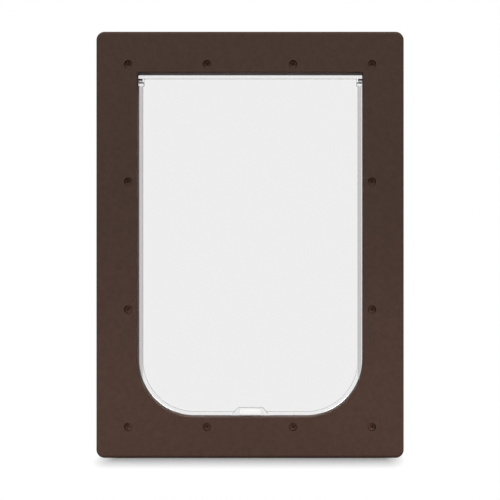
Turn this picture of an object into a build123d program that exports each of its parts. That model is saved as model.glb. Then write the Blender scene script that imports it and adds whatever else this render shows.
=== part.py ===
from build123d import *
import os

os.makedirs("parts", exist_ok=True)

# A pet door for a house door: two brown mouldings clamp the door leaf between them, their
# tunnel walls telescope through the cut-out, and a clear two-way flap swings in the tunnel.
# Millimetres. X runs across, Y from the screwed side to the blind side, Z up from the floor.

# Driving dimensions of the opening and the flanges round it
opening_width = 262.0
opening_height = 400.0
border = 47.5
lower_corner_radius = 66.0
upper_corner_radius = 2.0
outer_corner_radius = 9.5
flange_depth = 9.0
leaf_gap = 38.0
skin = 3.0
lip_wall = 3.5
outer_edge_round = 3.5
opening_edge_round = 1.0

# Telescoping tunnel: the front wall slides inside the rear sleeve
tunnel_wall = 2.5
sleeve_wall = 2.5
sleeve_clearance = 0.6
front_tunnel_reach = 25.0
tunnel_overlap = 10.0

# Stiffening ribs behind both skins
rib_thickness = 1.6
rib_bays_across = 4
rib_bays_up = 4

# Screws and what they sit in
screw_inset = 10.5
screw_middle_spacing = 99.8
screw_row_spacing = 148.3
screw_rows_centre_drop = 1.0
screw_radius = 2.0
screw_head_radius = 4.5
screw_head_height = 2.2
screw_tip_clearance = 0.7
screw_pass_clearance = 0.25
screw_thread_clearance = 0.02
recess_clearance = 0.25
recess_depth = 6.0
boss_wall = 1.9
blind_boss_radius = 5.0
blind_hole_depth = 7.0

# Clear flap
flap_set_back = 17.0
flap_side_gap = 1.2
flap_bottom_gap = 1.2
flap_top_gap = 1.9
panel_thickness = 3.0
rim_width = 4.2
rim_thickness = 6.0
rim_round = 1.4
rim_window_radius = 3.0

# Hinge: ears on the flap turn on headed pins held in bosses outside the tunnel wall
hinge_drop = 8.7
pin_radius = 2.0
pin_head_radius = 3.2
pin_head_height = 1.2
pin_reach = 4.8
pin_tip_chamfer = 0.8
pin_running_clearance = 0.05
pin_seat_clearance = 0.02
pin_end_clearance = 0.5
hinge_boss_radius = 5.5
hinge_boss_height = 2.9
hinge_web_thickness = 3.0
ear_gap = 0.4
ear_width = 6.6
ear_drop = 6.0
knuckle_radius = 4.0
ear_round = 0.6

# Magnet catch at the bottom of the flap and in the threshold
pocket_base_width = 45.0
pocket_top_width = 28.6
pocket_height = 9.2
pocket_thickness = 8.0
pocket_round = 0.8
pocket_back_wall = 1.5
pocket_floor = 1.5
holder_width = 25.0
holder_height = 6.5
holder_clearance = 0.15
holder_head_room = 0.4
holder_wall = 1.2
magnet_clearance = 0.05
keeper_width = 25.0
keeper_depth = 6.0
keeper_height = 3.3
keeper_clearance = 0.1
keeper_drop = 0.2
keeper_tray_wall = 2.0

# Places that follow from the sizes above
frame_width = opening_width + 2 * border
frame_height = opening_height + 2 * border
frame_middle = frame_height / 2
threshold = border
lintel = border + opening_height
front_face = -(leaf_gap / 2 + flange_depth)
front_seat = -leaf_gap / 2
rear_seat = leaf_gap / 2
rear_face = leaf_gap / 2 + flange_depth
front_tunnel_end = front_seat + front_tunnel_reach
sleeve_start = front_tunnel_end - tunnel_overlap
sleeve_grow = tunnel_wall + sleeve_clearance
flap_plane = front_face + flap_set_back
hinge_height = lintel - hinge_drop
recess_radius = screw_head_radius + recess_clearance
boss_radius = recess_radius + boss_wall
pocket_depth = flange_depth - skin


def section(y):
    """An upright plane across the tunnel at depth y, facing the screwed side."""
    return Plane.XZ.offset(-y)


def side_plane(side, x, y, z):
    """A plane facing outwards from the tunnel's left (-1) or right (+1) side."""
    return Plane(origin=(side * x, y, z), x_dir=(0, side, 0), z_dir=(side, 0, 0))


def arch_outline(width, bottom, top, lower_radius, upper_radius):
    """An upright outline, well rounded at its lower corners and nearly square at the upper ones."""
    with BuildSketch() as outline:
        with Locations((0, (bottom + top) / 2)):
            Rectangle(width, top - bottom)
        corners = outline.vertices().group_by(Axis.Y)
        fillet(corners[0], lower_radius)
        fillet(corners[-1], upper_radius)
    return outline.sketch


def tunnel_outline(grow):
    """The tunnel's outline, grown by the same margin all round."""
    return arch_outline(
        opening_width + 2 * grow,
        threshold - grow,
        lintel + grow,
        lower_corner_radius + grow,
        upper_corner_radius + grow,
    )


def flange_outline(shrink):
    """The flange's outline, shrunk by the same margin all round."""
    with BuildSketch() as outline:
        with Locations((0, frame_middle)):
            RectangleRounded(
                frame_width - 2 * shrink,
                frame_height - 2 * shrink,
                outer_corner_radius - shrink,
            )
    return outline.sketch


def rib_outline():
    """A lattice of ribs that runs through every screw boss and ties the lip to the tunnel wall."""
    inner_width = frame_width - 2 * lip_wall
    inner_height = frame_height - 2 * lip_wall
    pitch_across = screw_middle_spacing / 2
    pitch_up = screw_row_spacing / 2
    columns = [pitch_across * (i - rib_bays_across / 2) for i in range(rib_bays_across + 1)]
    columns += [-screw_column, screw_column]
    rows = [screw_rows_middle + pitch_up * (i - rib_bays_up / 2) for i in range(rib_bays_up + 1)]
    rows += [screw_bottom, screw_top]
    with BuildSketch() as lattice:
        with Locations(*[(x, frame_middle) for x in columns]):
            Rectangle(rib_thickness, inner_height)
        with Locations(*[(0, z) for z in rows]):
            Rectangle(inner_width, rib_thickness)
    return lattice.sketch


# Twelve screws ring the opening: four in the top row, four in the bottom row, two down each side
screw_column = opening_width / 2 + screw_inset
screw_top = lintel + screw_inset - screw_rows_centre_drop
screw_bottom = threshold - screw_inset - screw_rows_centre_drop
screw_rows_middle = frame_middle - screw_rows_centre_drop
screw_points = [
    (x, z)
    for z in (screw_bottom, screw_top)
    for x in (-screw_column, -screw_middle_spacing / 2, screw_middle_spacing / 2, screw_column)
]
screw_points += [
    (x, screw_rows_middle + half * screw_row_spacing / 2)
    for x in (-screw_column, screw_column)
    for half in (-1, 1)
]

tunnel_clear = tunnel_outline(0)
tunnel_outside = tunnel_outline(tunnel_wall)
sleeve_inside = tunnel_outline(sleeve_grow)
sleeve_outside = tunnel_outline(sleeve_grow + sleeve_wall)
flange = flange_outline(0)
flange_inside = flange_outline(lip_wall)
rib_lattice = rib_outline()

# Front moulding: skin, lip, ribs, screw bosses and the inner wall of the tunnel
with BuildPart() as front_frame:
    with BuildSketch(section(front_face)):
        add(flange)
    extrude(amount=-flange_depth)
    fillet(front_frame.faces().sort_by(Axis.Y)[0].edges(), outer_edge_round)
    with BuildSketch(section(front_face + skin)):
        add(flange_inside)
    extrude(amount=-pocket_depth, mode=Mode.SUBTRACT)
    with BuildSketch(section(front_face + skin)):
        add(rib_lattice)
        with Locations(*screw_points):
            Circle(boss_radius)
    extrude(amount=-pocket_depth)
    with BuildSketch(section(front_face + skin)):
        add(tunnel_outside)
    extrude(amount=-(pocket_depth + front_tunnel_reach))
    for side in (-1, 1):
        boss_plane = side_plane(side, opening_width / 2 + tunnel_wall, flap_plane, hinge_height)
        with BuildSketch(boss_plane):
            Circle(hinge_boss_radius)
            with Locations((side * (front_seat - flap_plane) / 2, 0)):
                Rectangle(flap_plane - front_seat, hinge_web_thickness)
        extrude(amount=hinge_boss_height)
    with BuildSketch(section(flap_plane - keeper_depth / 2 - keeper_tray_wall)):
        with Locations((0, threshold - tunnel_wall)):
            Rectangle(
                keeper_width + 2 * keeper_tray_wall,
                2 * (keeper_height + keeper_drop + keeper_tray_wall - tunnel_wall),
            )
    extrude(amount=-(keeper_depth + 2 * keeper_tray_wall))
    with BuildSketch(section(front_face)):
        add(tunnel_clear)
    extrude(amount=-(flange_depth + front_tunnel_reach), mode=Mode.SUBTRACT)
    with BuildSketch(Plane.XY.offset(threshold)):
        with Locations((0, flap_plane)):
            Rectangle(keeper_width + 2 * keeper_clearance, keeper_depth + 2 * keeper_clearance)
    extrude(amount=-(keeper_height + keeper_drop), mode=Mode.SUBTRACT)
    face_edges = front_frame.faces().sort_by(Axis.Y)[0].inner_wires()[0].edges()
    fillet(face_edges, opening_edge_round)
    with Locations(section(front_face)):
        with Locations(*screw_points):
            CounterBoreHole(
                screw_radius + screw_pass_clearance,
                recess_radius,
                recess_depth,
                flange_depth,
            )
    for side in (-1, 1):
        boss_end = opening_width / 2 + tunnel_wall + hinge_boss_height
        with Locations(side_plane(side, boss_end, flap_plane, hinge_height)):
            CounterBoreHole(
                pin_radius + pin_seat_clearance,
                pin_head_radius + pin_seat_clearance,
                pin_head_height,
                tunnel_wall + hinge_boss_height,
            )

front_frame.part.label = "front_frame"
export_step(front_frame.part, "parts/front_frame.step")

# Rear moulding: the same flange, closed behind the screws, with the outer sleeve of the tunnel
with BuildPart() as rear_frame:
    with BuildSketch(section(rear_seat)):
        add(flange)
    extrude(amount=-flange_depth)
    fillet(rear_frame.faces().sort_by(Axis.Y)[-1].edges(), outer_edge_round)
    with BuildSketch(section(rear_seat)):
        add(flange_inside)
    extrude(amount=-pocket_depth, mode=Mode.SUBTRACT)
    with BuildSketch(section(rear_seat)):
        add(rib_lattice)
        with Locations(*screw_points):
            Circle(blind_boss_radius)
    extrude(amount=-pocket_depth)
    with BuildSketch(section(sleeve_start)):
        add(sleeve_outside)
    extrude(amount=-(rear_seat - sleeve_start + pocket_depth))
    with BuildSketch(section(sleeve_start)):
        add(sleeve_inside)
    extrude(amount=-(rear_face - sleeve_start), mode=Mode.SUBTRACT)
    face_edges = rear_frame.faces().sort_by(Axis.Y)[-1].inner_wires()[0].edges()
    fillet(face_edges, opening_edge_round)
    with Locations(section(rear_seat)):
        with Locations(*screw_points):
            Hole(screw_radius + screw_thread_clearance, blind_hole_depth)

rear_frame.part.label = "rear_frame"
export_step(rear_frame.part, "parts/rear_frame.step")

# One flat-headed screw on its own axis, with the head's seat at zero
screw_length = flange_depth - recess_depth + leaf_gap + blind_hole_depth - screw_tip_clearance
with BuildPart() as screw:
    with BuildSketch(Plane.XY):
        Circle(screw_head_radius)
    extrude(amount=screw_head_height)
    with BuildSketch(Plane.XY):
        Circle(screw_radius)
    extrude(amount=-screw_length)

with BuildPart() as frame_screws:
    with Locations(section(front_face + recess_depth)):
        with Locations(*screw_points):
            add(screw.part)

frame_screws.part.label = "frame_screws"
export_step(frame_screws.part, "parts/frame_screws.step")

# Clear flap: a thin panel in a rounded rim, with ears at the top and the magnet pocket below
flap_width = opening_width - 2 * flap_side_gap
flap_bottom = threshold + flap_bottom_gap
flap_top = lintel - flap_top_gap
flap_lower_radius = lower_corner_radius - flap_side_gap
flap_outline = arch_outline(flap_width, flap_bottom, flap_top, flap_lower_radius, upper_corner_radius)
flap_window = arch_outline(
    flap_width - 2 * rim_width,
    flap_bottom + rim_width,
    flap_top - rim_width,
    flap_lower_radius - rim_width,
    rim_window_radius,
)
ear_outside = opening_width / 2 - ear_gap
pocket_front = flap_plane - pocket_thickness / 2
cavity_depth = pocket_thickness - pocket_back_wall
holder_bottom = flap_bottom + pocket_floor

with BuildPart() as flap:
    with BuildSketch(section(flap_plane)):
        add(flap_outline)
        add(flap_window, mode=Mode.SUBTRACT)
    extrude(amount=rim_thickness / 2, both=True)
    fillet(flap.faces().filter_by(Axis.Y).edges(), rim_round)
    with BuildSketch(section(flap_plane)):
        add(flap_outline)
    extrude(amount=panel_thickness / 2, both=True)
    for side in (-1, 1):
        ear_plane = side_plane(side, ear_outside - ear_width, flap_plane, hinge_height)
        with BuildSketch(ear_plane):
            Circle(knuckle_radius)
            with Locations((0, (flap_top - hinge_height - ear_drop) / 2)):
                RectangleRounded(rim_thickness, flap_top - hinge_height + ear_drop, ear_round)
        extrude(amount=ear_width)
    with BuildSketch(section(flap_plane)):
        with BuildLine():
            Polyline(
                (-pocket_base_width / 2, flap_bottom),
                (pocket_base_width / 2, flap_bottom),
                (pocket_top_width / 2, flap_bottom + pocket_height),
                (-pocket_top_width / 2, flap_bottom + pocket_height),
                close=True,
            )
        make_face()
    extrude(amount=pocket_thickness / 2, both=True)
    pocket_faces = flap.faces().filter_by(Axis.Y)
    for face in (pocket_faces.sort_by(Axis.Y)[0], pocket_faces.sort_by(Axis.Y)[-1]):
        fillet(face.edges(), pocket_round)
    with BuildSketch(section(pocket_front)):
        with Locations((0, holder_bottom + (holder_height + holder_head_room) / 2)):
            Rectangle(holder_width + 2 * holder_clearance, holder_height + holder_head_room)
    extrude(amount=-cavity_depth, mode=Mode.SUBTRACT)
    for side in (-1, 1):
        with Locations(side_plane(side, ear_outside, flap_plane, hinge_height)):
            Hole(
                pin_radius + pin_running_clearance,
                pin_reach - ear_gap + pin_end_clearance,
            )

flap.part.label = "flap"
export_step(flap.part, "parts/flap.step")

# White holder clipped into the pocket from the front, with the bar magnet in its open back
holder_depth = cavity_depth - holder_clearance
holder_back = pocket_front + holder_depth
magnet_width = holder_width - 2 * (holder_wall + magnet_clearance)
magnet_height = holder_height - 2 * (holder_wall + magnet_clearance)
magnet_depth = holder_depth - holder_wall
holder_middle = holder_bottom + holder_height / 2

with BuildPart() as magnet_holder:
    with BuildSketch(section(holder_back)):
        with Locations((0, holder_middle)):
            Rectangle(holder_width, holder_height)
    extrude(amount=holder_depth)
    with BuildSketch(section(holder_back)):
        with Locations((0, holder_middle)):
            Rectangle(holder_width - 2 * holder_wall, holder_height - 2 * holder_wall)
    extrude(amount=magnet_depth, mode=Mode.SUBTRACT)

magnet_holder.part.label = "magnet_holder"
export_step(magnet_holder.part, "parts/magnet_holder.step")

with BuildPart() as flap_magnet:
    with BuildSketch(section(holder_back)):
        with Locations((0, holder_middle)):
            Rectangle(magnet_width, magnet_height)
    extrude(amount=magnet_depth)

flap_magnet.part.label = "flap_magnet"
export_step(flap_magnet.part, "parts/flap_magnet.step")

# Keeper magnet let into the threshold under the flap's edge
with BuildPart() as threshold_magnet:
    with BuildSketch(Plane.XY.offset(threshold - keeper_drop)):
        with Locations((0, flap_plane)):
            Rectangle(keeper_width, keeper_depth)
    extrude(amount=-keeper_height)

threshold_magnet.part.label = "threshold_magnet"
export_step(threshold_magnet.part, "parts/threshold_magnet.step")

# Headed hinge pins, put in from outside the tunnel wall with their heads sunk in the bosses
for side, name in ((-1, "hinge_pin_left"), (1, "hinge_pin_right")):
    seat = opening_width / 2 + tunnel_wall + hinge_boss_height - pin_head_height
    with BuildPart() as hinge_pin:
        with BuildSketch(side_plane(side, seat, flap_plane, hinge_height)):
            Circle(pin_head_radius)
        extrude(amount=pin_head_height)
        with BuildSketch(side_plane(side, seat, flap_plane, hinge_height)):
            Circle(pin_radius)
        extrude(amount=-(seat - opening_width / 2 + pin_reach))
        tip = hinge_pin.faces().sort_by(Axis.X)[-1 if side < 0 else 0]
        chamfer(tip.edges(), pin_tip_chamfer)
    hinge_pin.part.label = name
    export_step(hinge_pin.part, f"parts/{name}.step")
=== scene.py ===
import math
import random

import bmesh
import bpy
from mathutils import Matrix, Vector


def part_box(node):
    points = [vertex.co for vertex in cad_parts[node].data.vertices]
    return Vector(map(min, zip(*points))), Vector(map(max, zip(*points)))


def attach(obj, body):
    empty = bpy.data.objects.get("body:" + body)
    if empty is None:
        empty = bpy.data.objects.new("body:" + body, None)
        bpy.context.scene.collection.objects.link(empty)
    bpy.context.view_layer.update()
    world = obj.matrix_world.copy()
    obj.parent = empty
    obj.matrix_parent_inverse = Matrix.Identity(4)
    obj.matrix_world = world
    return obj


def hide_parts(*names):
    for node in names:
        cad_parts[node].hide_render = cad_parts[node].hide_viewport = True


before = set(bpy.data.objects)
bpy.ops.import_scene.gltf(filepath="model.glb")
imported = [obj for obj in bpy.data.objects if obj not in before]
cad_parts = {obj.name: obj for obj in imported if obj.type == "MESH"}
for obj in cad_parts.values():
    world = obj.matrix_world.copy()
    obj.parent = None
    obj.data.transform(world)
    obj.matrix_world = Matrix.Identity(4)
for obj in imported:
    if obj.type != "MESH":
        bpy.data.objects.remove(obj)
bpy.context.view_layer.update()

# Sizes are in millimetres where a name or comment says so, and in metres in Blender itself.
# X runs across the door, Y from the screwed face to the rear, Z up.
MM = 0.001
FRONT_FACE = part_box("front_frame")[0].y / MM
FLAP_LOW, FLAP_HIGH = (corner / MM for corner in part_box("flap"))
PIN_LOW, PIN_HIGH = (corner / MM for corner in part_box("hinge_pin_left"))
SCREW_LOW, SCREW_HIGH = (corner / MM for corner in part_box("frame_screws"))
HOLDER_LOW, HOLDER_HIGH = (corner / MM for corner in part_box("magnet_holder"))
FLAP_PLANE = (PIN_LOW.y + PIN_HIGH.y) / 2
HINGE_HEIGHT = (PIN_LOW.z + PIN_HIGH.z) / 2

# The flap's own sizes in mm, as in the CAD part. The ears' sides are measured from the door's middle,
# and the halves of a thickness from the flap's middle plane.
FLAP_HALF_WIDTH = 129.8
LOWER_CORNER, UPPER_CORNER = 64.8, 2.0
RIM_WIDTH = 4.2
PANEL_HALF, RIM_HALF, EAR_HALF, POCKET_HALF = 1.5, 2.95, 3.0, 4.0
EAR_INSIDE, EAR_OUTSIDE = 124.0, 130.6
EAR_FOOT, EAR_HEAD = 432.8, 445.5
KNUCKLE_INSIDE, KNUCKLE_OUTSIDE, KNUCKLE_RADIUS = 124.1, 130.5, 4.0
PIN_HOLE_END, PIN_HOLE_RADIUS = 125.7, 2.05
POCKET_FOOT_HALF, POCKET_TOP_HALF, POCKET_TOP = 22.5, 14.3, 57.9
CAVITY_SIDE_GAP, CAVITY_TOP_GAP, CAVITY_BACK = 0.15, 0.4, 2.5


def srgb(code):
    """A six-digit sRGB hex colour as linear RGBA."""
    parts = [int(code[i : i + 2], 16) / 255 for i in (0, 2, 4)]
    linear = [c / 12.92 if c <= 0.04045 else ((c + 0.055) / 1.055) ** 2.4 for c in parts]
    return (*linear, 1.0)


def add_node(tree, kind, settings=None, links=None):
    """Adds a node with its properties and socket values, and links from output sockets to its inputs."""
    node = tree.nodes.new(kind)
    for key, value in (settings or {}).items():
        if isinstance(key, str) and hasattr(node, key):
            setattr(node, key, value)
        else:
            node.inputs[key].default_value = value
    for key, source in (links or {}).items():
        tree.links.new(source, node.inputs[key])
    return node


def new_material(name):
    """A material with only its output node, its tree, and that node's surface socket."""
    material = bpy.data.materials.new(name)
    material.use_nodes = True
    tree = material.node_tree
    tree.nodes.clear()
    return material, tree, add_node(tree, "ShaderNodeOutputMaterial").inputs["Surface"]


def two_tones(tree, factor, low, high, dark, light):
    """A colour ramp from dark at low to light at high."""
    ramp = add_node(tree, "ShaderNodeValToRGB", None, {"Fac": factor})
    for element, place, code in zip(ramp.color_ramp.elements, (low, high), (dark, light)):
        element.position = place
        element.color = srgb(code)
    return ramp.outputs["Color"]


# Brown ABS from a spark-eroded mould: an even fine grain that leaves a dull sheen, faint flow clouds of
# 5 mm in the colour, and a few darker flecks about 26 mm apart. The real grain is about 0.1 mm, too
# fine for the picture, so it is drawn at 1.4 mm.
def textured_brown_abs():
    material, tree, surface = new_material("spark_textured_brown_abs")
    place = add_node(tree, "ShaderNodeTexCoord").outputs["Object"]
    grain = add_node(
        tree, "ShaderNodeTexNoise", {"Scale": 1 / (1.4 * MM), "Detail": 2.0}, {"Vector": place}
    )
    cloud = add_node(tree, "ShaderNodeTexNoise", {"Scale": 1 / (5 * MM), "Detail": 3.0}, {"Vector": place})
    both = add_node(
        tree, "ShaderNodeMix", {"Factor": 0.5}, {"A": grain.outputs["Fac"], "B": cloud.outputs["Fac"]}
    )
    mottled = two_tones(tree, both.outputs["Result"], 0.35, 0.65, "412E25", "4B362D")
    fleck = add_node(tree, "ShaderNodeTexVoronoi", {"Scale": 1 / (26 * MM)}, {"Vector": place})
    speck = add_node(
        tree,
        "ShaderNodeMapRange",
        {"From Min": 0.025, "From Max": 0.05, "To Min": 0.72, "To Max": 1.0},
        {"Value": fleck.outputs["Distance"]},
    )
    brown = add_node(
        tree, "ShaderNodeVectorMath", {"operation": "SCALE"}, {0: mottled, "Scale": speck.outputs[0]}
    )
    bump = add_node(
        tree, "ShaderNodeBump", {"Strength": 0.3, "Distance": 0.1 * MM}, {"Height": grain.outputs["Fac"]}
    )
    shader = add_node(
        tree,
        "ShaderNodeBsdfPrincipled",
        {"Roughness": 0.75, "IOR": 1.5, "Specular IOR Level": 0.3},
        {"Base Color": brown.outputs[0], "Normal": bump.outputs["Normal"]},
    )
    tree.links.new(shader.outputs[0], surface)
    return material


# Clear polycarbonate, injection moulded: glass-clear over the polished panel, and slightly satin on the
# rim and pocket, where the mould is only bead-blasted, so they blur what stands behind them. The upright
# rims are tinted greyer as painted shade, and the ears are nearly polished and keep little of that
# painted grey, so the pins show in them.
def moulded_clear_polycarbonate():
    polished, blasted, at_ears = 0.01, 0.2, 0.07
    material, tree, surface = new_material("moulded_clear_polycarbonate")
    place = add_node(tree, "ShaderNodeTexCoord").outputs["Object"]
    axes = add_node(tree, "ShaderNodeSeparateXYZ", None, {"Vector": place})
    from_middle = add_node(
        tree, "ShaderNodeMath", {"operation": "SUBTRACT", 1: FLAP_PLANE * MM}, {0: axes.outputs["Y"]}
    )
    thick = add_node(tree, "ShaderNodeMath", {"operation": "ABSOLUTE"}, {0: from_middle.outputs[0]})
    satin = add_node(
        tree,
        "ShaderNodeMapRange",
        {"From Min": 1.52 * MM, "From Max": 1.7 * MM, "To Min": polished, "To Max": blasted},
        {"Value": thick.outputs[0]},
    )
    aside = add_node(tree, "ShaderNodeMath", {"operation": "ABSOLUTE"}, {0: axes.outputs["X"]})
    over_foot = add_node(
        tree, "ShaderNodeMath", {"operation": "GREATER_THAN", 1: EAR_FOOT * MM}, {0: axes.outputs["Z"]}
    )
    past_side = add_node(
        tree, "ShaderNodeMath", {"operation": "GREATER_THAN", 1: EAR_INSIDE * MM}, {0: aside.outputs[0]}
    )
    in_ear = add_node(
        tree,
        "ShaderNodeMath",
        {"operation": "MULTIPLY"},
        {0: over_foot.outputs[0], 1: past_side.outputs[0]},
    )
    frost = add_node(
        tree,
        "ShaderNodeMath",
        {"operation": "MULTIPLY_ADD", 1: at_ears - blasted, "use_clamp": True},
        {0: in_ear.outputs[0], 2: satin.outputs[0]},
    )
    # painted shade: the tint turns grey past 124.8 mm from the middle, on the upright rims, and mostly not
    # in the ears
    shade = add_node(
        tree,
        "ShaderNodeMapRange",
        {"From Min": 124.8 * MM, "From Max": 126 * MM},
        {"Value": aside.outputs[0]},
    )
    painted_shade_below_ear = add_node(
        tree,
        "ShaderNodeMath",
        {"operation": "MULTIPLY_ADD", 1: -0.8, "use_clamp": True},
        {0: in_ear.outputs[0], 2: shade.outputs[0]},
    )
    clear_tint_and_painted_shade = two_tones(tree, painted_shade_below_ear.outputs[0], 0.0, 1.0, "F0F0F0", "C8C6C6")
    shader = add_node(
        tree,
        "ShaderNodeBsdfPrincipled",
        {"IOR": 1.58, "Transmission Weight": 1.0},
        {"Base Color": clear_tint_and_painted_shade, "Roughness": frost.outputs[0]},
    )
    tree.links.new(shader.outputs[0], surface)
    return material


# White acetal from a plain mould: a soft even white with barely visible flow marks
def moulded_white_acetal():
    material, tree, surface = new_material("moulded_white_acetal")
    place = add_node(tree, "ShaderNodeTexCoord").outputs["Object"]
    flow = add_node(tree, "ShaderNodeTexNoise", {"Scale": 1 / (4 * MM), "Detail": 2.0}, {"Vector": place})
    white = two_tones(tree, flow.outputs["Fac"], 0.35, 0.65, "FBFBFA", "FEFEFD")
    bump = add_node(
        tree, "ShaderNodeBump", {"Strength": 0.2, "Distance": 0.05 * MM}, {"Height": flow.outputs["Fac"]}
    )
    shader = add_node(
        tree,
        "ShaderNodeBsdfPrincipled",
        {"Roughness": 0.4, "IOR": 1.48},
        {"Base Color": white, "Normal": bump.outputs["Normal"]},
    )
    tree.links.new(shader.outputs[0], surface)
    return material


# Sintered ferrite, ground flat: near black and dull, with a fine grain of half a millimetre
def ground_ferrite():
    material, tree, surface = new_material("ground_ferrite")
    place = add_node(tree, "ShaderNodeTexCoord").outputs["Object"]
    grit = add_node(tree, "ShaderNodeTexNoise", {"Scale": 1 / (0.5 * MM), "Detail": 3.0}, {"Vector": place})
    grey = two_tones(tree, grit.outputs["Fac"], 0.35, 0.65, "262627", "363638")
    bump = add_node(
        tree, "ShaderNodeBump", {"Strength": 0.3, "Distance": 0.05 * MM}, {"Height": grit.outputs["Fac"]}
    )
    shader = add_node(
        tree,
        "ShaderNodeBsdfPrincipled",
        {"Roughness": 0.7, "Specular IOR Level": 0.25},
        {"Base Color": grey, "Normal": bump.outputs["Normal"]},
    )
    tree.links.new(shader.outputs[0], surface)
    return material


# Stainless rod, cold drawn: bright grey with fine lines along its length
def drawn_stainless():
    material, tree, surface = new_material("drawn_stainless_steel")
    place = add_node(tree, "ShaderNodeTexCoord").outputs["Object"]
    along = add_node(tree, "ShaderNodeMapping", {"Scale": (0.05, 1.0, 1.0)}, {"Vector": place})
    lines = add_node(
        tree, "ShaderNodeTexNoise", {"Scale": 1 / (0.4 * MM), "Detail": 2.0}, {"Vector": along.outputs[0]}
    )
    grey = two_tones(tree, lines.outputs["Fac"], 0.3, 0.7, "ECECEA", "F8F8F6")
    dull = add_node(
        tree, "ShaderNodeMapRange", {"To Min": 0.08, "To Max": 0.16}, {"Value": lines.outputs["Fac"]}
    )
    shader = add_node(
        tree,
        "ShaderNodeBsdfPrincipled",
        {"Metallic": 1.0},
        {"Base Color": grey, "Roughness": dull.outputs[0]},
    )
    tree.links.new(shader.outputs[0], surface)
    return material


# Screw steel, plated a dark bronze to go with the moulding: satin, with lighter worn patches
def bronze_plated_steel():
    material, tree, surface = new_material("bronze_plated_steel")
    place = add_node(tree, "ShaderNodeTexCoord").outputs["Object"]
    wear = add_node(tree, "ShaderNodeTexNoise", {"Scale": 1 / (1.5 * MM), "Detail": 4.0}, {"Vector": place})
    bronze = two_tones(tree, wear.outputs["Fac"], 0.4, 0.75, "5F4133", "755545")
    dull = add_node(
        tree, "ShaderNodeMapRange", {"To Min": 0.3, "To Max": 0.5}, {"Value": wear.outputs["Fac"]}
    )
    shader = add_node(
        tree,
        "ShaderNodeBsdfPrincipled",
        {"Metallic": 0.15, "Specular IOR Level": 0.3},
        {"Base Color": bronze, "Roughness": dull.outputs[0]},
    )
    tree.links.new(shader.outputs[0], surface)
    return material


brown_abs = textured_brown_abs()
ferrite = ground_ferrite()
stainless = drawn_stainless()
cad_finishes = {
    "front_frame": brown_abs,
    "rear_frame": brown_abs,
    "magnet_holder": moulded_white_acetal(),
    "flap_magnet": ferrite,
    "threshold_magnet": ferrite,
    "hinge_pin_left": stainless,
    "hinge_pin_right": stainless,
}
for node, material in cad_finishes.items():
    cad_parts[node].material_slots[0].material = material


SHARP_FROM = math.radians(40)


def smoothed(mesh):
    """The same mesh, shaded smooth but for its sharp edges."""
    mesh.polygons.foreach_set("use_smooth", [True] * len(mesh.polygons))
    mesh.set_sharp_from_angle(angle=SHARP_FROM)
    return mesh


def mesh_from(shape, name):
    """A smooth-shaded mesh from a bmesh, which is freed."""
    bmesh.ops.recalc_face_normals(shape, faces=shape.faces)
    mesh = bpy.data.meshes.new(name)
    shape.to_mesh(mesh)
    shape.free()
    return smoothed(mesh)


def in_scene(name, data):
    """A new object in the scene for a mesh, a lamp or a camera."""
    thing = bpy.data.objects.new(name, data)
    bpy.context.scene.collection.objects.link(thing)
    return thing


def evened(mesh):
    """The same mesh with normals led by its large faces, so that flats beside small roundings look flat."""
    work = in_scene("work", mesh)
    step = work.modifiers.new("normals", "WEIGHTED_NORMAL")
    step.keep_sharp = True
    step.weight = 100
    depsgraph = bpy.context.evaluated_depsgraph_get()
    result = bpy.data.meshes.new_from_object(work.evaluated_get(depsgraph))
    bpy.data.objects.remove(work)
    return result


def joined_and_cut(base, additions, cuts):
    """The base mesh joined with the additions and then cut by the cuts, all closed meshes."""
    work = in_scene("work", base)
    tools = []
    for operation, meshes in (("UNION", additions), ("DIFFERENCE", cuts)):
        for mesh in meshes:
            tool = in_scene("tool", mesh)
            tools.append(tool)
            step = work.modifiers.new(operation, "BOOLEAN")
            step.operation = operation
            step.solver = "EXACT"
            step.object = tool
    depsgraph = bpy.context.evaluated_depsgraph_get()
    result = bpy.data.meshes.new_from_object(work.evaluated_get(depsgraph))
    for thing in [work, *tools]:
        bpy.data.objects.remove(thing)
    return smoothed(result)


def without_slivers(mesh):
    """The same mesh in triangles, with none that has no area, and in the same order each run."""
    across = Vector((1.0, 0.618, 0.414))
    shape = bmesh.new()
    shape.from_mesh(mesh)
    bmesh.ops.triangulate(shape, faces=shape.faces)
    bmesh.ops.dissolve_degenerate(shape, dist=0.001 * MM, edges=shape.edges)
    shape.verts.sort(key=lambda vert: vert.co.dot(across))
    shape.faces.sort(key=lambda face: face.calc_center_median().dot(across))
    return mesh_from(shape, "triangles")


def rounded_prism(outline, y_from, y_to, rounding):
    """A closed prism on an XZ outline in mm between two depths, its edges rounded in four steps."""
    shape = bmesh.new()
    near = [shape.verts.new(Vector((x, y_from, z)) * MM) for x, z in outline]
    far = [shape.verts.new(Vector((x, y_to, z)) * MM) for x, z in outline]
    shape.faces.new(near)
    shape.faces.new(far[::-1])
    for i in range(len(outline)):
        j = (i + 1) % len(outline)
        shape.faces.new((near[i], far[i], far[j], near[j]))
    bmesh.ops.recalc_face_normals(shape, faces=shape.faces)
    if rounding:
        bmesh.ops.bevel(
            shape, geom=shape.edges[:], offset=rounding * MM, segments=4, profile=0.5, affect="EDGES"
        )
    return mesh_from(shape, "prism")


def turned_x(x_from, x_to, radius):
    """A closed cylinder along X in mm, on the hinge axis."""
    shape = bmesh.new()
    bmesh.ops.create_cone(
        shape,
        cap_ends=True,
        segments=64,
        radius1=radius * MM,
        radius2=radius * MM,
        depth=abs(x_to - x_from) * MM,
        matrix=Matrix.Translation(Vector(((x_from + x_to) / 2, FLAP_PLANE, HINGE_HEIGHT)) * MM)
        @ Matrix.Rotation(math.radians(90), 4, "Y"),
    )
    return mesh_from(shape, "cylinder")


# Flap moulding: rings of one outline after another, from the front panel over the rim to the back
ARC_STEPS = 40
SIDE_STEPS = 20


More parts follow.
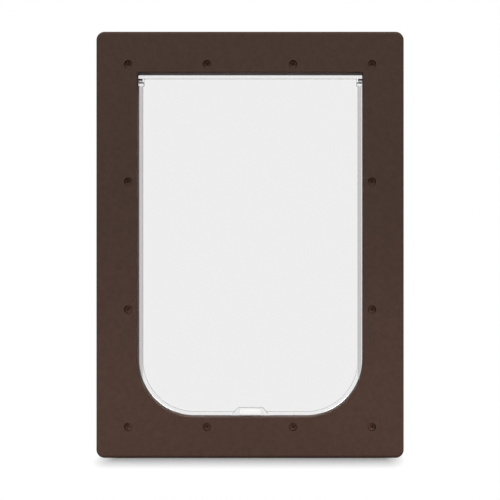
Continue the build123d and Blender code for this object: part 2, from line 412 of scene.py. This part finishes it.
def flap_ring(inset, depth):
    """Points round the flap's outline, moved in by inset, at a depth from the flap's middle plane."""
    half = FLAP_HALF_WIDTH - inset
    low, high = FLAP_LOW.z + inset, FLAP_HIGH.z - inset
    lower = LOWER_CORNER - inset
    upper = UPPER_CORNER + inset / RIM_WIDTH
    corners = [
        (half - lower, low + lower, lower, -90),
        (half - upper, high - upper, upper, 0),
        (-half + upper, high - upper, upper, 90),
        (-half + lower, low + lower, lower, 180),
    ]
    arcs = []
    for x, z, radius, start in corners:
        turns = [math.radians(start + 90 * i / ARC_STEPS) for i in range(ARC_STEPS + 1)]
        arcs.append([Vector((x + radius * math.cos(a), 0, z + radius * math.sin(a))) for a in turns])
    ring = []
    for arc, following in zip(arcs, arcs[1:] + arcs[:1]):
        gap = following[0] - arc[-1]
        ring += arc + [arc[-1] + gap * (i / SIDE_STEPS) for i in range(1, SIDE_STEPS)]
    return [Vector((p.x, FLAP_PLANE + depth, p.z)) * MM for p in ring]


def rim_section():
    """(inset, depth) pairs of half the rim's section, from the panel's face over the crown to the edge."""
    foot, shoulder, edge = 0.08, 0.1, 1.5
    fine_turns = [math.radians(90 * i / 4) for i in range(5)]
    edge_turns = [math.radians(90 * i / 9) for i in range(10)]
    section = [(RIM_WIDTH + foot + 0.6, PANEL_HALF)]
    for a in fine_turns:
        section.append((RIM_WIDTH + foot * (1 - math.sin(a)), PANEL_HALF + foot * (1 - math.cos(a))))
    for a in fine_turns:
        inset = RIM_WIDTH - shoulder * (1 - math.cos(a))
        section.append((inset, RIM_HALF - shoulder * (1 - math.sin(a))))
    for a in edge_turns:
        section.append((edge * (1 - math.sin(a)), RIM_HALF - edge * (1 - math.cos(a))))
    section.append((0.0, 0.0))
    return section


def flap_skin():
    """The panel and rim as one closed skin."""
    shape = bmesh.new()
    half_section = rim_section()
    section = [(u, -v) for u, v in half_section] + [(u, v) for u, v in half_section[-2::-1]]
    rings = [[shape.verts.new(p) for p in flap_ring(u, v)] for u, v in section]
    for ring, following in zip(rings, rings[1:]):
        for i in range(len(ring)):
            j = (i + 1) % len(ring)
            shape.faces.new((ring[i], ring[j], following[j], following[i]))
    shape.faces.new(rings[0])
    shape.faces.new(rings[-1])
    return mesh_from(shape, "flap_skin")


def flap_moulding():
    """The flap with its ears, knuckles and magnet pocket, and the holes for the pins and the holder."""
    additions, cuts = [], []
    for side in (-1, 1):
        ear = [
            (side * EAR_INSIDE, EAR_FOOT),
            (side * EAR_OUTSIDE, EAR_FOOT),
            (side * EAR_OUTSIDE, EAR_HEAD),
            (side * EAR_INSIDE, EAR_HEAD),
        ]
        additions.append(rounded_prism(ear, FLAP_PLANE - EAR_HALF, FLAP_PLANE + EAR_HALF, 0.6))
        additions.append(turned_x(side * KNUCKLE_INSIDE, side * KNUCKLE_OUTSIDE, KNUCKLE_RADIUS))
        past_ear = EAR_OUTSIDE + 1.4
        cuts.append(turned_x(side * PIN_HOLE_END, side * past_ear, PIN_HOLE_RADIUS))
    foot = FLAP_LOW.z - 0.1
    pocket = [
        (-POCKET_FOOT_HALF, foot),
        (POCKET_FOOT_HALF, foot),
        (POCKET_TOP_HALF, POCKET_TOP),
        (-POCKET_TOP_HALF, POCKET_TOP),
    ]
    additions.append(rounded_prism(pocket, FLAP_PLANE - POCKET_HALF, FLAP_PLANE + POCKET_HALF, 0.35))
    left, right = HOLDER_LOW.x - CAVITY_SIDE_GAP, HOLDER_HIGH.x + CAVITY_SIDE_GAP
    low, high = HOLDER_LOW.z, HOLDER_HIGH.z + CAVITY_TOP_GAP
    cavity = [(left, low), (right, low), (right, high), (left, high)]
    before_pocket = FLAP_PLANE - POCKET_HALF - 1.0
    cuts.append(rounded_prism(cavity, before_pocket, FLAP_PLANE + CAVITY_BACK, 0))
    return evened(joined_and_cut(flap_skin(), additions, cuts))


def new_piece(name, mesh, material, body, slot, *nodes):
    """Puts a mesh in the scene as a piece of one body that stands for the named CAD nodes."""
    piece = in_scene(name, mesh)
    mesh.materials.clear()
    mesh.materials.append(material)
    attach(piece, body)
    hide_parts(*nodes)


new_piece("clear_flap", flap_moulding(), moulded_clear_polycarbonate(), "flap", "clear_plastic", "flap")

# Screws: a flat head with rounded edges and a cross recess, and a coarse thread for plastic. Sizes in
# mm. The CAD screws' box, less the radius of their heads, gives the outer screws' centres.
CAD_HEAD_RADIUS = 4.5
HEAD_RADIUS = 4.45
HEAD_HEIGHT = 2.2
THREAD_PITCH = 1.8
THREAD_CREST = 1.95
THREAD_CORE = 1.5
THREAD_STEPS = 18
THREAD_ROWS = 8
HEAD_FRONT = SCREW_LOW.y
HEAD_SEAT = HEAD_FRONT + HEAD_HEIGHT
SCREW_TIP = SCREW_HIGH.y
OUTER_COLUMN = (SCREW_HIGH.x - SCREW_LOW.x) / 2 - CAD_HEAD_RADIUS
INNER_COLUMN = 49.9
SCREW_BOTTOM, SCREW_TOP = SCREW_LOW.z + CAD_HEAD_RADIUS, SCREW_HIGH.z - CAD_HEAD_RADIUS
SCREW_MIDDLE = (SCREW_BOTTOM + SCREW_TOP) / 2
SIDE_SCREW_RISE = 74.15
screw_points = [
    (x, z)
    for z in (SCREW_BOTTOM, SCREW_TOP)
    for x in (-OUTER_COLUMN, -INNER_COLUMN, INNER_COLUMN, OUTER_COLUMN)
]
screw_points += [
    (x, SCREW_MIDDLE + rise)
    for x in (-OUTER_COLUMN, OUTER_COLUMN)
    for rise in (-SIDE_SCREW_RISE, SIDE_SCREW_RISE)
]


def screw_head():
    """A head on the Y axis with its front at zero, as a closed mesh with a tapered cross recess."""
    rounding, crown = 0.35, 0.1
    shape = bmesh.new()
    profile = [(0.0, 0.0), (2.9, crown / 2)]
    for i in range(7):
        a = math.radians(90 * i / 6)
        radius = HEAD_RADIUS - rounding * (1 - math.sin(a))
        profile.append((radius, crown + rounding * (1 - math.cos(a))))
    profile += [(HEAD_RADIUS, HEAD_HEIGHT), (0.0, HEAD_HEIGHT)]
    line = [shape.verts.new(Vector((r, y, 0)) * MM) for r, y in profile]
    edges = [shape.edges.new(pair) for pair in zip(line, line[1:])]
    bmesh.ops.spin(
        shape, geom=line + edges, cent=(0, 0, 0), axis=(0, 1, 0), angle=math.tau, steps=48, use_merge=True
    )
    bmesh.ops.remove_doubles(shape, verts=shape.verts, dist=0.001 * MM)
    head = mesh_from(shape, "head")
    arm, half_width, depth = 2.5, 0.6, 1.7
    mouth_scale, floor_scale = 1.25, 0.45
    plus = [
        (half_width, arm), (half_width, half_width), (arm, half_width),
        (arm, -half_width), (half_width, -half_width), (half_width, -arm),
        (-half_width, -arm), (-half_width, -half_width), (-arm, -half_width),
        (-arm, half_width), (-half_width, half_width), (-half_width, arm),
    ]
    cross = bmesh.new()
    mouth, floor = (
        [cross.verts.new(Vector((x * scale, y, z * scale)) * MM) for x, z in plus]
        for scale, y in ((mouth_scale, -0.5), (floor_scale, depth))
    )
    cross.faces.new(mouth)
    cross.faces.new(floor[::-1])
    for i in range(len(plus)):
        j = (i + 1) % len(plus)
        cross.faces.new((mouth[i], floor[i], floor[j], mouth[j]))
    return without_slivers(joined_and_cut(head, [], [mesh_from(cross, "cross")]))


def screw_shank(length):
    """A threaded shank on the Y axis from zero to length, closed and tapered at both ends."""
    neck, point, smallest = 3, 4, 0.35
    rows = round(length / THREAD_PITCH * THREAD_ROWS) - THREAD_ROWS
    shape = bmesh.new()
    grid = []
    for row in range(rows + 1):
        line = []
        for step in range(THREAD_STEPS):
            turn = step / THREAD_STEPS
            along = (row / THREAD_ROWS + turn) * THREAD_PITCH
            crest = max(0.0, 1 - abs((row % THREAD_ROWS) - THREAD_ROWS / 2) / 2)
            taper = min(1.0, smallest + min(1.0, along / neck, (length - along) / point))
            radius = (THREAD_CORE + (THREAD_CREST - THREAD_CORE) * crest) * taper
            x, z = radius * math.cos(math.tau * turn), radius * math.sin(math.tau * turn)
            line.append(shape.verts.new(Vector((x, along, z)) * MM))
        grid.append(line)
    for row in range(rows):
        for step in range(THREAD_STEPS):
            onward, next_row = step + 1, row
            if onward == THREAD_STEPS:
                # the last step joins the first one of the next turn
                onward, next_row = 0, row + THREAD_ROWS
            if next_row < rows:
                corners = ((row, step), (row + 1, step), (next_row + 1, onward), (next_row, onward))
                shape.faces.new([grid[r][c] for r, c in corners])
    rims = [edge for edge in shape.edges if edge.is_boundary]
    bmesh.ops.holes_fill(shape, edges=rims, sides=0)
    return mesh_from(shape, "shank")


def all_screws():
    """The twelve screws as one mesh, each turned at random as a screwdriver leaves it."""
    turns = random.Random(7)
    head, shank = screw_head(), screw_shank(SCREW_TIP - HEAD_SEAT)
    into_head = 0.05
    shape = bmesh.new()
    for x, z in screw_points:
        twist = Matrix.Rotation(turns.uniform(0, math.tau), 4, "Y")
        for mesh, y in ((head, HEAD_FRONT), (shank, HEAD_SEAT - into_head)):
            part = bmesh.new()
            part.from_mesh(mesh)
            part.transform(Matrix.Translation(Vector((x, y, z)) * MM) @ twist)
            placed = bpy.data.meshes.new("placed")
            part.to_mesh(placed)
            part.free()
            shape.from_mesh(placed)
    mesh = bpy.data.meshes.new("screws")
    shape.to_mesh(mesh)
    shape.free()
    return evened(smoothed(mesh))


new_piece(
    "cross_head_screws", all_screws(), bronze_plated_steel(), "frame", "screw_steel", "frame_screws"
)

# Camera square-on, a little right of the door's middle and below it, as the tunnel's walls show, with
# the lens shifted so that the face stands in the photograph's place. Sizes in mm, rows in pixels.
PHOTO_PIXELS = 500
PIXEL = 1.16
PHOTO_WIDTH = PHOTO_PIXELS * PIXEL
PHOTO_BASE_ROW = 458.1
CAMERA_DISTANCE = 2200.0
CAMERA_SIDE = 60.0
CAMERA_HEIGHT = 215.0
camera_data = bpy.data.cameras.new("photo_camera")
camera_data.sensor_width = 36.0
camera_data.lens = camera_data.sensor_width * CAMERA_DISTANCE / PHOTO_WIDTH
picture_middle = (PHOTO_BASE_ROW - PHOTO_PIXELS / 2) * PIXEL
camera_data.shift_x = -CAMERA_SIDE / PHOTO_WIDTH
camera_data.shift_y = (picture_middle - CAMERA_HEIGHT) / PHOTO_WIDTH
camera_data.clip_end = 100.0
camera = in_scene("photo_camera", camera_data)
camera.location = Vector((CAMERA_SIDE, FRONT_FACE - CAMERA_DISTANCE, CAMERA_HEIGHT)) * MM
camera.rotation_euler = (math.radians(90), 0.0, 0.0)
bpy.context.scene.camera = camera

# White studio: the floor and the world show white to the camera and through the clear flap. Shiny
# surfaces see that white behind the door, and the dimmer room on the photographer's side. The floor is
# painted grey under the door, a painted shadow that turns to white past the soft shadow's edge; the grey
# there also takes the door's real shadow from the lamps.
ROOM_LIGHT = 0.3
ROOM_SHINE = 0.45
# painted shadow: half size in metres of the grey patch round the door's foot
PAINTED_SHADOW_HALF_SIZE = (0.155, 0.028, 0.0)
SHADOW_REACH = 0.121
SIDE_NARROWING = 5.0


def background_rays(tree):
    """Two masks: rays seen directly or through clear plastic, and rays off a shiny surface."""
    rays = add_node(tree, "ShaderNodeLightPath")
    direct = add_node(
        tree,
        "ShaderNodeMath",
        {"operation": "MAXIMUM"},
        {0: rays.outputs["Is Camera Ray"], 1: rays.outputs["Is Transmission Ray"]},
    )
    return direct.outputs[0], rays.outputs["Is Glossy Ray"]


# Floor paper: matt, with a painted shadow of grey under the door that fades to white, sooner at the sides;
# the grey also shows the door's real shadow
def white_floor_with_painted_shadow():
    material, tree, surface = new_material("white_floor_with_painted_shadow")
    direct, shiny = background_rays(tree)
    place = add_node(tree, "ShaderNodeTexCoord").outputs["Object"]
    axes = add_node(tree, "ShaderNodeSeparateXYZ", None, {"Vector": place})
    behind = add_node(
        tree,
        "ShaderNodeMapRange",
        {"From Min": 0.0, "From Max": 0.3, "To Min": ROOM_SHINE, "To Max": 1.0},
        {"Value": axes.outputs["Y"]},
    )
    strength = add_node(
        tree, "ShaderNodeMath", {"operation": "MAXIMUM"}, {0: direct, 1: behind.outputs[0]}
    )
    seen = add_node(tree, "ShaderNodeMath", {"operation": "MAXIMUM"}, {0: direct, 1: shiny})
    size = add_node(tree, "ShaderNodeVectorMath", {"operation": "ABSOLUTE"}, {0: place})
    past = add_node(
        tree, "ShaderNodeVectorMath", {"operation": "SUBTRACT", 1: PAINTED_SHADOW_HALF_SIZE}, {0: size.outputs[0]}
    )
    outside = add_node(
        tree, "ShaderNodeVectorMath", {"operation": "MAXIMUM", 1: (0, 0, 0)}, {0: past.outputs[0]}
    )
    narrower = add_node(
        tree,
        "ShaderNodeVectorMath",
        {"operation": "MULTIPLY", 1: (SIDE_NARROWING, 1.0, 0.0)},
        {0: outside.outputs[0]},
    )
    far = add_node(tree, "ShaderNodeVectorMath", {"operation": "LENGTH"}, {0: narrower.outputs[0]})
    fade = add_node(
        tree,
        "ShaderNodeMapRange",
        {"From Min": 0.0, "From Max": SHADOW_REACH},
        {"Value": far.outputs["Value"]},
    )
    blend = add_node(
        tree, "ShaderNodeMath", {"operation": "MULTIPLY"}, {0: fade.outputs[0], 1: seen.outputs[0]}
    )
    # painted shadow: grey floor under the door, which the fade turns to white with distance
    grey = add_node(tree, "ShaderNodeBsdfDiffuse", {"Color": srgb("A1A1A1")})
    white = add_node(
        tree, "ShaderNodeEmission", {"Color": (1, 1, 1, 1)}, {"Strength": strength.outputs[0]}
    )
    mix = add_node(
        tree, "ShaderNodeMixShader", None, {0: blend.outputs[0], 1: grey.outputs[0], 2: white.outputs[0]}
    )
    tree.links.new(mix.outputs[0], surface)
    return material


FLOOR_HALF = 30.0
floor_mesh = bpy.data.meshes.new("floor")
floor_corners = [(-1, -1, 0), (1, -1, 0), (1, 1, 0), (-1, 1, 0)]
floor_mesh.from_pydata([Vector(c) * FLOOR_HALF for c in floor_corners], [], [(0, 1, 2, 3)])
floor_mesh.materials.append(white_floor_with_painted_shadow())
in_scene("floor", floor_mesh)


def studio_world():
    """The white behind the door and the dimmer room before it, as the world's background."""
    world = bpy.data.worlds.new("studio")
    world.use_nodes = True
    tree = world.node_tree
    tree.nodes.clear()
    direct, shiny = background_rays(tree)
    way = add_node(tree, "ShaderNodeTexCoord").outputs["Generated"]
    axes = add_node(tree, "ShaderNodeSeparateXYZ", None, {"Vector": way})
    behind = add_node(
        tree,
        "ShaderNodeMapRange",
        {"From Min": 0.0, "From Max": 0.4, "To Min": ROOM_SHINE, "To Max": 1.0},
        {"Value": axes.outputs["Y"]},
    )
    shine = add_node(tree, "ShaderNodeMath", {"operation": "MULTIPLY"}, {0: behind.outputs[0], 1: shiny})
    room = add_node(
        tree, "ShaderNodeMath", {"operation": "MAXIMUM", 1: ROOM_LIGHT}, {0: shine.outputs[0]}
    )
    strength = add_node(
        tree, "ShaderNodeMath", {"operation": "MAXIMUM"}, {0: room.outputs[0], 1: direct}
    )
    sky = add_node(
        tree, "ShaderNodeBackground", {"Color": (1, 1, 1, 1)}, {"Strength": strength.outputs[0]}
    )
    add_node(tree, "ShaderNodeOutputWorld", None, {"Surface": sky.outputs[0]})
    return world


bpy.context.scene.world = studio_world()


def softbox(name, place, target, size, watts, spread=180.0, mirrored=True, refracted=False):
    """A square area lamp in metres, aimed at a target, with its spread in degrees."""
    data = bpy.data.lights.new(name, "AREA")
    data.shape = "SQUARE"
    data.size = size
    data.energy = watts
    data.spread = math.radians(spread)
    lamp = in_scene(name, data)
    lamp.location = place
    lamp.rotation_euler = (Vector(target) - Vector(place)).to_track_quat("-Z", "Y").to_euler()
    lamp.visible_camera = False
    lamp.visible_transmission = refracted
    lamp.visible_glossy = mirrored


# Two keys light the face, two small low lamps even out its foot, and the two at the back shine through
# the flap's rounded rim.
DOOR_MIDDLE = (0.0, 0.0, 0.25)
softbox("key_left", (-3.1, -4.4, 6.2), DOOR_MIDDLE, 3.0, 270.0)
softbox("key_right", (3.1, -4.4, 6.2), DOOR_MIDDLE, 3.0, 270.0)
softbox("low_right", (0.6, -0.58, 0.04), (0.14, 0.0, 0.0), 0.2, 0.15, spread=40.0, mirrored=False)
softbox("low_left", (-0.6, -0.58, 0.04), (-0.14, 0.0, 0.0), 0.2, 0.135, spread=40.0, mirrored=False)
softbox("back_left", (-3.0, 4.7, 4.2), DOOR_MIDDLE, 3.0, 165.0, refracted=True)
softbox("back_right", (3.0, 4.7, 4.2), DOOR_MIDDLE, 3.0, 165.0, refracted=True)

bpy.context.scene.view_settings.view_transform = "Standard"
